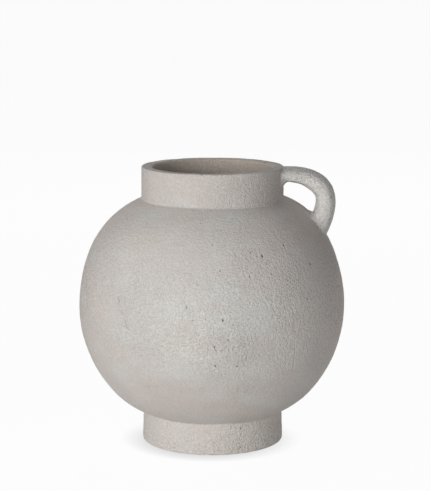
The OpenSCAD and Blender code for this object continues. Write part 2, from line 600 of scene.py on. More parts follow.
@dataclass(frozen=True)
class PitField:
    """All hollows of the outside: pits, scratches and nicks that stand out, and a scatter of small pits."""

    shape: WallShape
    deepest: float = 0.0011
    length: float = 0.0011
    seed: int = 11
    scattered: int = 90
    # Radius of the scattered pits and share of the full depth: the least, and what the largest has on top
    scattered_rad: Pair = (0.0003, 0.0002)
    scattered_depth: Pair = (0.3, 0.4)
    # Power of the draw, which makes large ones rare
    rarity: int = 3
    edge_room: float = 0.006
    # How far the mesh is made finer round each hollow, and by how many cuts
    fine_reach: float = 0.0016
    fine_cuts: int = 3
    # Turn from the front towards the handle in degrees, height and radius of each pit that stands out
    standing_out: tuple[Triple, ...] = (
        (28.2, 0.1926, 0.0012),
        (8.5, 0.1392, 0.0008),
        (5.1, 0.1152, 0.0007),
        (5.7, 0.1124, 0.0005),
        (5.5, 0.0977, 0.0005),
        (42.0, 0.1995, 0.0011),
        (54.5, 0.1806, 0.0011),
        (48.0, 0.1515, 0.0009),
        (35.3, 0.1476, 0.0006),
        (30.9, 0.1772, 0.0006),
        (20.7, 0.1763, 0.0006),
        (22.6, 0.1959, 0.0006),
        (25.7, 0.1923, 0.0005),
        (29.4, 0.1861, 0.0005),
        (1.5, 0.1404, 0.0005),
        (-6.3, 0.1505, 0.0005),
    )
    # Turn and height of the points of two long scratches, one on the left and one on the right
    scratches: tuple[tuple[Pair, ...], ...] = (
        ((-39.2, 0.1530), (-36.3, 0.1423), (-32.9, 0.1252), (-30.7, 0.1053)),
        ((40.8, 0.1125), (41.4, 0.1041), (41.8, 0.0947), (42.6, 0.0858)),
    )
    scratch_rad: float = 0.0010
    scratch_depth: float = 0.00040
    # Turn and height of both ends of two short nicks beside the left scratch
    nicks: tuple[tuple[Pair, ...], ...] = (
        ((-38.9, 0.1536), (-38.1, 0.1494)),
        ((-33.9, 0.1325), (-33.3, 0.1272)),
    )
    nick_rad: float = 0.0006
    nick_depth: float = 0.0008

    def pit(self, turned: float, height: float, rad: float, depth: float) -> Pit:
        """Places one upright pit.

        Args:
            turned: Angle from the front towards the handle, in degrees.
            height: Height of its middle.
            rad: Radius.
            depth: Depth.

        Returns:
            The pit.
        """
        low = self.shape.on_outside(turned, height - self.length / 2.0)
        return Pit(low, self.shape.on_outside(turned, height + self.length / 2.0), rad, depth)

    def pits(self) -> list[Pit]:
        """Lists the hollows, the same ones each time.

        Returns:
            The pits that stand out, the scattered ones, then the scratches and nicks.
        """
        found = [self.pit(turned, height, rad, self.deepest) for turned, height, rad in self.standing_out]
        draw = random.Random(self.seed)
        low, high = self.shape.foot_h + self.edge_room, self.shape.neck_h - self.edge_room
        for _ in range(self.scattered):
            turned = draw.uniform(0.0, FULL_TURN)
            height = draw.uniform(low, high)
            size = draw.random() ** self.rarity
            rad = self.scattered_rad[0] + self.scattered_rad[1] * size
            share = self.scattered_depth[0] + self.scattered_depth[1] * size
            found.append(self.pit(turned, height, rad, self.deepest * share))
        cuts = [(line, self.scratch_rad, self.scratch_depth) for line in self.scratches]
        cuts += [(line, self.nick_rad, self.nick_depth) for line in self.nicks]
        for line, rad, depth in cuts:
            places = [self.shape.on_outside(*point) for point in line]
            found += [Pit(*ends, rad, depth) for ends in zip(places, places[1:])]
        return found

    def refine(self, piece: Piece) -> None:
        """Divides a piece's faces around the hollows, so that its mesh can follow them.

        Args:
            piece: A piece of the round wall.
        """
        choose(piece)
        places = places_of(piece)
        near = np.zeros(len(places), dtype=bool)
        for pit in self.pits():
            room = Pit(pit.first, pit.last, pit.rad + self.fine_reach, pit.depth)
            near |= room.share(places) > 0.0
        bpy.ops.object.mode_set(mode="EDIT")
        bpy.ops.mesh.select_mode(type="VERT")
        bpy.ops.mesh.select_all(action="DESELECT")
        bpy.ops.object.mode_set(mode="OBJECT")
        piece.data.vertices.foreach_set("select", near)
        bpy.ops.object.mode_set(mode="EDIT")
        bpy.ops.mesh.subdivide(number_cuts=self.fine_cuts, ngon=False)
        bpy.ops.mesh.select_more()
        bpy.ops.mesh.quads_convert_to_tris(quad_method="BEAUTY", ngon_method="BEAUTY")
        bpy.ops.object.mode_set(mode="OBJECT")

    def sink(self, piece: Piece) -> None:
        """Sinks the hollows into a piece and keeps their depth for the finish.

        Args:
            piece: A piece of the round wall.
        """
        self.refine(piece)
        places = places_of(piece)
        depths = np.zeros(len(places))
        for pit in self.pits():
            depths = np.maximum(depths, pit.share(places) * pit.depth / self.deepest)
        mark(piece, PITS, depths)
        group = weigh(piece, PITS, depths)
        shift(piece, direction="NORMAL", mid_level=0.0, strength=-self.deepest, vertex_group=group)


# Finishes


def opaque(colour: Triple, paler: float = 1.0) -> tuple[float, ...]:
    """Gives a colour that isn't see-through, made paler by a factor."""
    return (*(paler * part for part in colour), 1.0)


class Graph:
    """A node tree that is filled with short calls."""

    MIX_FACTOR, MIX_A, MIX_B, MIX_RESULT = 0, 6, 7, 2

    def __init__(self, tree: bpy.types.NodeTree) -> None:
        """Keeps the tree and empties it."""
        self.tree = tree
        tree.nodes.clear()

    def add(self, kind: str, inputs: dict | None = None, **settings: object) -> bpy.types.Node:
        """Adds a node.

        Args:
            kind: Type of the node.
            inputs: Values or output sockets for its inputs, by the name or number of the input.
            **settings: Other settings of the node.

        Returns:
            The node.
        """
        node = self.tree.nodes.new(kind)
        for key, value in settings.items():
            setattr(node, key, value)
        for key, value in (inputs or {}).items():
            if isinstance(value, Link):
                self.tree.links.new(value, node.inputs[key])
            else:
                node.inputs[key].default_value = value
        return node

    def math(self, operation: str, *values: object) -> Link:
        """Adds a Math node.

        Args:
            operation: What it works out.
            *values: Numbers or output sockets.

        Returns:
            Its result.
        """
        return self.add("ShaderNodeMath", dict(enumerate(values)), operation=operation).outputs[0]

    def span(self, value: Link, source: Pair, target: Pair = (0.0, 1.0)) -> Link:
        """Maps one span of numbers to another and clamps it.

        Args:
            value: What is mapped.
            source: Its lowest and highest value.
            target: What these become.

        Returns:
            The mapped value.
        """
        ends = {"From Min": source[0], "From Max": source[1], "To Min": target[0], "To Max": target[1]}
        return self.add("ShaderNodeMapRange", {"Value": value, **ends}).outputs["Result"]

    def noise(self, vector: Link, scale: object, detail: float) -> Link:
        """Adds a Noise Texture and gives its value."""
        inputs = {"Vector": vector, "Scale": scale, "Detail": detail}
        return self.add("ShaderNodeTexNoise", inputs).outputs["Fac"]

    def mix(self, blend: str, factor: object, first: object, second: object) -> Link:
        """Mixes two colours.

        Args:
            blend: How they are mixed.
            factor: Share of the second one.
            first: First colour.
            second: Second colour.

        Returns:
            The mixed colour.
        """
        inputs = {self.MIX_FACTOR: factor, self.MIX_A: first, self.MIX_B: second}
        node = self.add("ShaderNodeMix", inputs, data_type="RGBA", blend_type=blend)
        return node.outputs[self.MIX_RESULT]

    def distance(self, first: Link, second: Link) -> Link:
        """Gives the distance between two places."""
        ends = {0: first, 1: second}
        return self.add("ShaderNodeVectorMath", ends, operation="DISTANCE").outputs["Value"]


class Effect:
    """A shader node group that several finishes share. It is built once."""

    name = "Effect"
    inputs: dict[str, Socket] = {}
    outputs: dict[str, Socket] = {}

    def group(self) -> bpy.types.NodeTree:
        """Gives the group, and builds it the first time.

        Returns:
            The group's tree.
        """
        found = bpy.data.node_groups.get(self.name)
        if found:
            return found
        tree = bpy.data.node_groups.new(self.name, "ShaderNodeTree")
        for label, kind in self.inputs.items():
            tree.interface.new_socket(label, in_out="INPUT", socket_type=kind.value)
        for label, kind in self.outputs.items():
            tree.interface.new_socket(label, in_out="OUTPUT", socket_type=kind.value)
        graph = Graph(tree)
        graph.add("NodeGroupOutput", self.wire(graph, graph.add("NodeGroupInput").outputs))
        return tree

    def wire(self, graph: Graph, given: Outputs) -> Links:
        """Wires the group.

        Args:
            graph: The group's tree.
            given: Its inputs.

        Returns:
            What feeds each of its outputs.
        """
        raise NotImplementedError

    def place(self, graph: Graph, inputs: dict, label: str = "") -> Outputs:
        """Places the group in a material.

        Args:
            graph: The material's tree.
            inputs: Values or output sockets for the group's inputs.
            label: What the node is for.

        Returns:
            The group's outputs.
        """
        return graph.add("ShaderNodeGroup", inputs, node_tree=self.group(), label=label).outputs


class SandGrain(Effect):
    """Fine sand in the clay's skin: small light and dark grains that also stand proud."""

    name = "Sand Grain"
    inputs = {"Vector": Socket.VECTOR, "Scale": Socket.VALUE, "Strength": Socket.VALUE}
    outputs = {"Tone": Socket.VALUE, "Height": Socket.VALUE}
    detail: float = 1.0
    clump_share: float = 0.45
    contrast: Pair = (0.3, 0.7)
    shades: Pair = (-0.185, 0.148)

    def wire(self, graph: Graph, given: Outputs) -> Links:
        """Wires fine grains and clumps of them.

        Args:
            graph: The group's tree.
            given: Its inputs.

        Returns:
            What feeds each of its outputs.
        """
        fine = graph.noise(given["Vector"], given["Scale"], self.detail)
        coarser = graph.math("MULTIPLY", given["Scale"], self.clump_share)
        clumps = graph.noise(given["Vector"], coarser, self.detail)
        shade = graph.span(fine, self.contrast, self.shades)
        tone = graph.math("MULTIPLY_ADD", shade, given["Strength"], 1.0)
        height = graph.math("MULTIPLY", graph.math("ADD", clumps, fine), given["Strength"])
        return {"Tone": tone, "Height": height}


class SmoothedZones(Effect):
    """How much of the sand still shows: most of it round one height, less where hands smoothed it."""

    name = "Smoothed Zones"
    inputs = {"Vector": Socket.VECTOR, "Middle": Socket.VALUE, "Reach": Socket.VALUE, "Least": Socket.VALUE}
    outputs = {"Strength": Socket.VALUE}
    fading: Pair = (0.25, 1.0)
    patch_scale: float = 14.0
    patch_detail: float = 1.0
    patch_contrast: Pair = (0.35, 0.65)
    patch_strength: Pair = (0.75, 1.2)

    def wire(self, graph: Graph, given: Outputs) -> Links:
        """Wires the distance from the middle height and broad patches.

        Args:
            graph: The group's tree.
            given: Its inputs.

        Returns:
            What feeds each of its outputs.
        """
        height = graph.add("ShaderNodeSeparateXYZ", {0: given["Vector"]}).outputs["Z"]
        away = graph.math("ABSOLUTE", graph.math("SUBTRACT", height, given["Middle"]))
        share = graph.span(graph.math("DIVIDE", away, given["Reach"]), self.fading, (1.0, 0.0))
        less = graph.math("SUBTRACT", 1.0, given["Least"])
        kept = graph.math("MULTIPLY_ADD", share, less, given["Least"])
        noise = graph.noise(given["Vector"], self.patch_scale, self.patch_detail)
        patches = graph.span(noise, self.patch_contrast, self.patch_strength)
        return {"Strength": graph.math("MULTIPLY", kept, patches)}


class BlushAndPaintedLight(Effect):
    """Slow changes of colour from kiln and slip, cooler round one place and warmer away from it. The finishes
    set that place on the front of the belly and give it a paler colour, which there is partly painted light.
    """

    name = "Blush And Painted Light"
    inputs = {
        "Vector": Socket.VECTOR,
        "Clay": Socket.COLOUR,
        "Warm": Socket.COLOUR,
        "Cool": Socket.COLOUR,
        "Middle": Socket.VECTOR,
        "Reach": Socket.VALUE,
    }
    outputs = {"Color": Socket.COLOUR}
    squat: Triple = (1.0, 1.0, 1.9)
    reaches: Pair = (0.0, 2.0)
    lean: Pair = (-0.1, 0.1)
    detail: float = 2.0
    warm_scale: float = 14.0
    warm_contrast: Pair = (0.42, 0.68)
    cool_scale: float = 23.0
    cool_contrast: Pair = (0.44, 0.68)

    def wire(self, graph: Graph, given: Outputs) -> Links:
        """Wires patches that are wider than they are high.

        Args:
            graph: The group's tree.
            given: Its inputs.

        Returns:
            What feeds each of its outputs.
        """
        squat = graph.add("ShaderNodeMapping", {"Vector": given["Vector"], "Scale": self.squat})
        away = graph.distance(given["Vector"], given["Middle"])
        lean = graph.span(graph.math("DIVIDE", away, given["Reach"]), self.reaches, self.lean)
        warm_noise = graph.noise(squat.outputs["Vector"], self.warm_scale, self.detail)
        cool_noise = graph.noise(squat.outputs["Vector"], self.cool_scale, self.detail)
        warm = graph.span(graph.math("ADD", warm_noise, lean), self.warm_contrast)
        cool_and_lit = graph.span(graph.math("SUBTRACT", cool_noise, lean), self.cool_contrast)
        warmed = graph.mix("MIX", warm, given["Clay"], given["Warm"])
        return {"Color": graph.mix("MIX", cool_and_lit, warmed, given["Cool"])}


class TintPatchMask(Effect):
    """A tint round one place, with an uneven edge. Most of these tints are painted shade and painted light.
    """

    name = "Tint Patch Mask"
    inputs = {"Vector": Socket.VECTOR, "Middle": Socket.VECTOR, "Reach": Socket.VALUE}
    outputs = {"Mask": Socket.VALUE}
    scale: float = 40.0
    detail: float = 2.0
    unevenness: float = 0.3
    fading: Pair = (0.4, 1.15)

    def wire(self, graph: Graph, given: Outputs) -> Links:
        """Wires a mask that fades with the distance.

        Args:
            graph: The group's tree.
            given: Its inputs.

        Returns:
            What feeds each of its outputs.
        """
        away = graph.distance(given["Vector"], given["Middle"])
        share = graph.math("DIVIDE", away, given["Reach"])
        noise = graph.noise(given["Vector"], self.scale, self.detail)
        uneven = graph.math("MULTIPLY_ADD", noise, self.unevenness, share)
        return {"Mask": graph.span(uneven, self.fading, (1.0, 0.0))}


class PinHoles(Effect):
    """Pin-sized holes, in a few of the cells that a scatter of points makes."""

    name = "Pin Holes"
    inputs = {"Vector": Socket.VECTOR, "Scale": Socket.VALUE, "Share": Socket.VALUE}
    outputs = {"Mask": Socket.VALUE}
    edge: Pair = (0.12, 0.24)

    def wire(self, graph: Graph, given: Outputs) -> Links:
        """Wires a round spot in each cell that was drawn.

        Args:
            graph: The group's tree.
            given: Its inputs.

        Returns:
            What feeds each of its outputs.
        """
        cells = graph.add("ShaderNodeTexVoronoi", {"Vector": given["Vector"], "Scale": given["Scale"]})
        lots = graph.add("ShaderNodeSeparateColor", {"Color": cells.outputs["Color"]}).outputs["Red"]
        drawn = graph.math("LESS_THAN", lots, given["Share"])
        spot = graph.span(cells.outputs["Distance"], self.edge, (1.0, 0.0))
        return {"Mask": graph.math("MULTIPLY", spot, drawn)}


class ThrowingLines(Effect):
    """Low ridges that fingers and ribs leave round a turned wall."""

    name = "Throwing Lines"
    inputs = {"Vector": Socket.VECTOR, "Scale": Socket.VALUE}
    outputs = {"Height": Socket.VALUE}
    flat: Triple = (0.06, 0.06, 1.0)
    detail: float = 2.0

    def wire(self, graph: Graph, given: Outputs) -> Links:
        """Wires a noise that changes fast with height and slowly round the wall."""
        flat = graph.add("ShaderNodeMapping", {"Vector": given["Vector"], "Scale": self.flat})
        return {"Height": graph.noise(flat.outputs["Vector"], given["Scale"], self.detail)}


@dataclass(frozen=True)
class TintPatch:
    """A tint round one place of the vase. Most of these are painted shade and painted light, and one is a
    warmer tint of the clay.
    """

    name: str
    tint: Triple
    middle: Triple
    reach: float


@dataclass(frozen=True)
class ClayFinish:
    """A matt unglazed clay surface."""

    name: str
    clay: Triple = (0.599, 0.571, 0.542)
    warm: Triple = (0.615, 0.567, 0.534)
    # Cooler colour, paler than the clay: a cool tint, and painted light where it gathers on the front of the
    # belly
    cool_and_lit: Triple = (0.634, 0.622, 0.592)
    raw: Triple = (0.600, 0.535, 0.470)
    # Colour that pits and pin holes are darkened towards: painted shade, with some dust
    hole_shade_and_dust: Triple = (0.07, 0.06, 0.055)
    paler: float = 1.0
    grain_scale: float = 780.0
    hole_scale: float = 260.0
    hole_share: float = 0.015
    hole_shade_share: float = 0.4
    # Depths between which a pit darkens, as shares of the deepest, and how dark it gets: painted shade in the
    # pit, with some dust
    pit_depths: Pair = (0.3, 0.9)
    pit_shade_share: float = 0.9
    lines_scale: float = 170.0
    lines_height: float = 0.35
    relief: float = 0.0011
    # Height that shows the most sand, how far above and below it fades, and the least share that shows
    middle: float = 0.145
    reach: float = 0.08
    least: float = 0.4
    # Heights of the grains, and the roughness that these give
    grain_heights: Pair = (0.6, 1.4)
    roughness: Pair = (0.86, 0.97)
    gloss: float = 0.22
    # Where the cooler, paler colour gathers, on the front of the belly, and how far it reaches: painted light
    # there
    cool_lit_middle: Triple = (0.01, -0.12, 0.12)
    cool_lit_reach: float = 0.06
    # Tint patches: painted shade by the handle (a little browner there too), on the collar and low on the
    # bowl, painted light on the front and the right of the belly, and a warmer tint low on the left
    tint_patches: tuple[TintPatch, ...] = (
        TintPatch("painted shade by the handle", tint=(0.91, 0.90, 0.895), middle=(0.093, -0.044, 0.195), reach=0.055),
        TintPatch("painted shade on the collar", tint=(0.91, 0.90, 0.895), middle=(0.058, -0.032, 0.245), reach=0.035),
        TintPatch("painted light in front", tint=(1.08, 1.08, 1.075), middle=(-0.008, -0.122, 0.124), reach=0.044),
        TintPatch("painted light on the right", tint=(1.12, 1.09, 1.08), middle=(0.121, -0.030, 0.133), reach=0.048),
        TintPatch("painted shade low down", tint=(0.94, 0.92, 0.915), middle=(0.01, -0.103, 0.07), reach=0.08),
        TintPatch("flash on the left", tint=(0.98, 0.945, 0.94), middle=(-0.058, -0.094, 0.07), reach=0.05),
    )

    def material(self) -> Finish:
        """Builds the finish.

        Returns:
            The material.
        """
        made = bpy.data.materials.new(self.name)
        made.use_nodes = True
        graph = Graph(made.node_tree)
        where = graph.add("ShaderNodeTexCoord").outputs["Object"]
        zones = {"Vector": where, "Middle": self.middle, "Reach": self.reach, "Least": self.least}
        strength = SmoothedZones().place(graph, zones)["Strength"]
        sand = {"Vector": where, "Scale": self.grain_scale, "Strength": strength}
        grain = SandGrain().place(graph, sand)
        pores = {"Vector": where, "Scale": self.hole_scale, "Share": self.hole_share}
        holes = PinHoles().place(graph, pores)["Mask"]
        lines = ThrowingLines().place(graph, {"Vector": where, "Scale": self.lines_scale})["Height"]
        shader = graph.add(
            "ShaderNodeBsdfPrincipled",
            {
                "Base Color": self._colour(graph, where, grain["Tone"], holes),
                "Roughness": graph.span(grain["Height"], self.grain_heights, self.roughness),
                "Normal": self._relief(graph, grain["Height"], holes, lines),
                "Specular IOR Level": self.gloss,
            },
        )
        graph.add("ShaderNodeOutputMaterial", {"Surface": shader.outputs["BSDF"]})
        return made

    def _colour(self, graph: Graph, where: Link, tone: Link, holes: Link) -> Link:
        """Lays kiln colour with painted light on the front of the belly, tint patches of painted shade and
        painted light, raw clay on the inside, grain, and holes with painted shade over each other.

        Args:
            graph: The material's tree.
            where: Place on the piece.
            tone: Lightness of the grains.
            holes: Mask of the pin holes.

        Returns:
            The colour.
        """
        named = {"Clay": self.clay, "Warm": self.warm, "Cool": self.cool_and_lit}
        colours = {key: opaque(colour, self.paler) for key, colour in named.items()}
        spread = {"Middle": self.cool_lit_middle, "Reach": self.cool_lit_reach}
        blush_and_painted_light = BlushAndPaintedLight().place(graph, {"Vector": where, **colours, **spread})["Color"]
        # Lays the tint patches, most of them painted shade and painted light
        for tint_patch in self.tint_patches:
            spot = {"Vector": where, "Middle": tint_patch.middle, "Reach": tint_patch.reach}
            mask = TintPatchMask().place(graph, spot, label=tint_patch.name)["Mask"]
            blush_and_painted_light = graph.mix("MULTIPLY", mask, blush_and_painted_light, opaque(tint_patch.tint))
        inside = graph.add("ShaderNodeAttribute", attribute_name=INSIDE).outputs["Fac"]
        skin = graph.mix("MIX", inside, blush_and_painted_light, opaque(self.raw))
        grained = graph.mix("MULTIPLY", 1.0, skin, tone)
        # Pits and pin holes darken towards that colour: painted shade, with some dust
        pits = graph.add("ShaderNodeAttribute", attribute_name=PITS).outputs["Fac"]
        sunk = graph.span(pits, self.pit_depths, (0.0, self.pit_shade_share))
        dark = graph.math("MAXIMUM", sunk, graph.math("MULTIPLY", holes, self.hole_shade_share))
        return graph.mix("MIX", dark, grained, opaque(self.hole_shade_and_dust))

    def _relief(self, graph: Graph, grain: Link, holes: Link, lines: Link) -> Link:
        """Raises grains and throwing lines and sinks the holes.

        Args:
            graph: The material's tree.
            grain: Height of the grains.
            holes: Mask of the pin holes.
            lines: Height of the throwing lines.

        Returns:
            The normal.
        """
        ridged = graph.math("MULTIPLY_ADD", lines, self.lines_height, grain)
        height = graph.math("SUBTRACT", ridged, holes)
        bump = graph.add("ShaderNodeBump", {"Height": height, "Strength": 1.0, "Distance": self.relief})
        return bump.outputs["Normal"]


# Sub-assemblies


@dataclass
class SubAssembly:
    """Pieces that are made together. Each stands for a solid of the frame."""

    shape: WallShape
    hand: HandWork

    def fit(self, piece: Piece, node: str, slot: Slot, finish: Finish) -> None:
        """Dresses a finished piece and puts it in the place of its solid.

        Args:
            piece: The piece.
            node: Name of the solid.
            slot: Material slot of the record, not used.
            finish: Its material.
        """
        choose(piece)
        bpy.ops.object.shade_smooth_by_angle(angle=SHARP_ANGLE)
        piece.data.materials.clear()
        piece.data.materials.append(finish)
        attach(piece, BODY)
        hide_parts(node)
        LOG.info("%s stands for %s, %d faces", piece.name, node, len(piece.data.polygons))


@dataclass
class RoundWall(SubAssembly):
    """Upper dome and lower bowl, joined by a tongue and a groove on the widest line."""

    steps: int = 600
    fine: float = 0.00135
    coarse: float = 0.006
    tongue_w: float = 0.0026
    slip_gap: float = 0.0002

    def tongue(self, room: float) -> Outline:
        """Gives the corners of the tongue, or of its groove, from the inside outwards.

        Args:
            room: How much wider it is on each side, and deeper.

        Returns:
            Four corners.
        """
        middle = self.shape.body_rad - self.shape.thickness / 2.0
        inner, outer = middle - self.tongue_w / 2.0 - room, middle + self.tongue_w / 2.0 + room
        top, tip = self.shape.belly_h, self.shape.belly_h - self.shape.tongue_h - room
        return [Vector(p) for p in ((inner, top), (inner, tip), (outer, tip), (outer, top))]

    def dome(self) -> Piece:
        """Turns the upper half, from the tongue up to the mouth.

        Returns:
            The dome.
        """
        shape = self.shape
        shoulder = shape.shoulder
        outside = shape.curve(Half.UPPER, 0.0, shape.collar_rad, self.fine)
        edges = [shoulder.angle_at(rad, Half.UPPER) for rad in (shape.collar_rad, shape.mouth_rad)]
        under_collar = shoulder.points(*edges, self.coarse)
        inside = shape.curve(Half.UPPER, -shape.thickness, shape.mouth_rad, self.coarse)[::-1]
        outline = joined(outside, under_collar, inside, self.tongue(0.0), outside[:1])
        return turn("dome_wall", outline, self.steps)

    def bowl(self) -> Piece:
        """Turns the lower half, from the middle of the floor up to the groove and back down inside.

        Returns:
            The bowl.
        """
        shape = self.shape
        floor_edge = shape.base.centre.x
        floor_h = shape.base.at(-QUARTER_TURN).y
        outside = shape.curve(Half.LOWER, 0.0, shape.foot_rad, self.fine)[::-1]
        edges = (-QUARTER_TURN, shape.base.angle_at(shape.foot_rad, Half.LOWER))
        in_foot = shape.base.points(*edges, self.coarse / 2.0)
        inside = shape.curve(Half.LOWER, -shape.thickness, floor_edge, self.coarse)
        under = straight(Vector((0.0, floor_h)), Vector((floor_edge, floor_h)), self.coarse)
        over = [p + Vector((0.0, shape.thickness)) for p in under[::-1]]
        groove = self.tongue(self.slip_gap)[::-1]
        return turn("bowl_wall", joined(under, in_foot, outside, groove, inside, over), self.steps)

    def build(self, finish: Finish, pits: PitField) -> None:
        """Models and dresses both halves.

        Args:
            finish: Finish of the wall.
            pits: Pits of the outside.
        """
        for piece, node in ((self.dome(), "upper_dome"), (self.bowl(), "lower_bowl")):
            self.hand.swell(piece)
            self.hand.work(piece)
            mark_inside(piece)
            pits.sink(piece)
            self.fit(piece, node, Slot.SANDY, finish)


@dataclass
class TurnedRing(SubAssembly):
    """A ring set on the round wall a little off centre, with a coil of clay pressed into the corner."""

    off_centre: float = 0.0008
    # How deep the ring's cut face lies in the wall
    seat: float = 0.0008
    steps: int = 380
    fine: float = 0.0012
    coarse: float = 0.0025
    edge_round: float = 0.0015
    # A rounding's radius is this many times the distance between its points
    round_parts: float = 4.0
    # Reach of the coil along ring and wall, how deep its ends lie in the ring and its back in the corner
    coil_leg: float = 0.0024
    coil_sink: float = 0.0004
    coil_bury: float = 0.0008
    coil_flats: int = 10

    def turn_ring(self, name: str, outline: Outline) -> Piece:
        """Turns an outline and moves it off centre, towards the handle.

        Args:
            name: Name of the piece.
            outline: Points of radius and height, the first one repeated at the end.

        Returns:
            The turned piece.
        """
        piece = turn(name, outline, self.steps)
        bpy.ops.object.mode_set(mode="EDIT")
        bpy.ops.mesh.select_all(action="SELECT")
        bpy.ops.transform.translate(value=self.off_centre * OUT)
        bpy.ops.object.mode_set(mode="OBJECT")
        return piece

    def rounding(self, middle: Vector, radius: float, start: float) -> Outline:
        """Gives a quarter circle that starts at an angle in degrees."""
        return Arc(middle, radius).points(start, start + QUARTER_TURN, radius / self.round_parts)

    def coil(self, name: str, on_ring: Vector, corner: Vector, on_wall: Vector) -> Piece:
        """Turns a coil that was wiped hollow.

        Args:
            name: Name of the piece.
            on_ring: Where the coil ends, just under the ring's surface.
            corner: Where the ring meets the wall.
            on_wall: Where the coil ends, just under the wall's surface.

        Returns:
            The coil.
        """
        middle = (on_ring + on_wall) / 2.0
        outwards = (middle - corner).normalized()
        face = hollow_curve(on_ring, corner, on_wall, self.coil_flats)
        back = [p - outwards * self.coil_bury for p in (on_wall, corner, on_ring)]
        return self.turn_ring(name, joined(face, back, face[:1]))


@dataclass
class Neck(TurnedRing):
    """Straight collar with a rounded rim, and the coil at its foot."""

    edge_round: float = 0.001
    mouth_round: float = 0.0025
    coil_leg: float = 0.0026

    def collar(self) -> Piece:
        """Turns the collar. Its underside follows the shoulder, just under its surface.

        Returns:
            The collar.
        """
        shape, edge, mouth = self.shape, self.edge_round, self.mouth_round
        seat = shape.shoulder.grown(-self.seat)
        inner_angle = seat.angle_at(shape.mouth_rad, Half.UPPER)
        outer_angle = seat.angle_at(shape.collar_rad, Half.UPPER)
        outer_middle = Vector((shape.collar_rad - edge, shape.rim_h - edge))
        inner_middle = Vector((shape.mouth_rad + mouth, shape.rim_h - mouth))
        outer = self.rounding(outer_middle, edge, 0.0)
        inner = self.rounding(inner_middle, mouth, QUARTER_TURN)
        outline = joined(
            straight(seat.at(outer_angle), outer[0], self.fine),
            outer,
            straight(outer[-1], inner[0], self.fine),
            inner,
            straight(inner[-1], seat.at(inner_angle), self.fine),
            seat.points(inner_angle, outer_angle, self.coarse),
        )
        return self.turn_ring("collar_wall", outline)

    def neck_coil(self) -> Piece:
        """Turns the coil between collar and shoulder.

        Returns:
            The coil.
        """
        shape = self.shape
        seat = shape.shoulder.grown(-self.seat)
        corner = Vector((shape.collar_rad, shape.neck_h))
        toe = seat.at(seat.angle_at(shape.collar_rad + self.coil_leg, Half.UPPER))
        return self.coil("neck_fillet", corner + Vector((-self.coil_sink, self.coil_leg)), corner, toe)

    def build(self, finish: Finish, luting: Finish) -> None:
        """Models and dresses the collar and its coil.

        Args:
            finish: Finish of the collar.
            luting: Finish of the coil.
        """
        ring, coil = self.collar(), self.neck_coil()
        self.hand.swell(coil)
        for piece, node, slot, look in (
            (ring, "neck_collar", Slot.SANDY, finish),
            (coil, "neck_coil", Slot.LUTING, luting),
        ):
            self.hand.work(piece)
            mark_inside(piece)
            self.fit(piece, node, slot, look)


@dataclass
class Foot(TurnedRing):
    """Straight foot ring with soft lower edges, and the coil above it."""

    thickness: float = 0.012
    flare: float = 0.0004

    def ring(self) -> Piece:
        """Turns the ring, a little wider at the table. Its top follows the bowl, just under its surface.

        Returns:
            The foot ring.
        """
        shape, edge = self.shape, self.edge_round
        inner_rad = shape.foot_rad - self.thickness
        top_rad, low_rad = shape.foot_rad - self.flare, shape.foot_rad + self.flare
        seat = shape.base.grown(-self.seat)
        inner_angle, outer_angle = seat.angle_at(inner_rad, Half.LOWER), seat.angle_at(top_rad, Half.LOWER)
        outer = self.rounding(Vector((low_rad - edge, edge)), edge, -QUARTER_TURN)
        inner = self.rounding(Vector((inner_rad + edge, edge)), edge, -2.0 * QUARTER_TURN)
        outline = joined(
            outer,
            straight(outer[-1], seat.at(outer_angle), self.fine),
            seat.points(outer_angle, inner_angle, self.coarse),
            straight(seat.at(inner_angle), inner[0], self.coarse),
            inner,
            straight(inner[-1], outer[0], self.coarse),
        )
        return self.turn_ring("foot_wall", outline)

    def foot_coil(self) -> Piece:
        """Turns the coil between foot ring and bowl.

        Returns:
            The coil.
        """
        shape = self.shape
        seat = shape.base.grown(-self.seat)
        rad = shape.foot_rad - self.flare
        corner = shape.base.at(shape.base.angle_at(rad, Half.LOWER))
        toe = seat.at(seat.angle_at(rad + self.coil_leg, Half.LOWER))
        return self.coil("foot_fillet", corner - Vector((self.coil_sink, self.coil_leg)), corner, toe)

    def build(self, finish: Finish, luting: Finish) -> None:
        """Models and dresses the foot ring and its coil.

        Args:
            finish: Finish of the ring.
            luting: Finish of the coil.
        """
        for piece, node, slot, look in (
            (self.ring(), "foot_ring", Slot.SANDY, finish),
            (self.foot_coil(), "foot_coil", Slot.LUTING, luting),
        ):
            self.hand.work(piece)
            self.fit(piece, node, slot, look)


